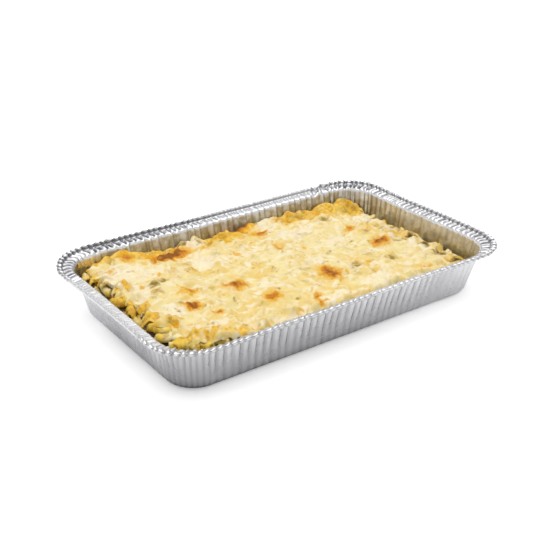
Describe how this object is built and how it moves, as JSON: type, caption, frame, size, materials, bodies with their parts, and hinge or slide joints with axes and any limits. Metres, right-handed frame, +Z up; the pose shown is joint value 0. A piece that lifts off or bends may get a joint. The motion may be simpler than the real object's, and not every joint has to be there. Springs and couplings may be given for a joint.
{
  "type": "foil tray meal",
  "caption": "Large rectangular foil tray with fluted walls and a rolled rim, filled with baked macaroni under melted browned cheese.",
  "frame": {"origin": "centre of the tray's base, on the surface that it stands on", "axes": "+X along the long sides, -Y towards the front long side, +Z up"},
  "size_m": [0.527, 0.33, 0.0766],
  "materials": {
    "foil": "bright pressed foil",
    "pasta": "glazed, baked golden",
    "cheese": "melted, with browned spots"
  },
  "bodies": {
    "root": {"foil_tray": "foil", "macaroni_bake": "pasta", "melted_cheese": "cheese"}
  },
  "joints": []
}
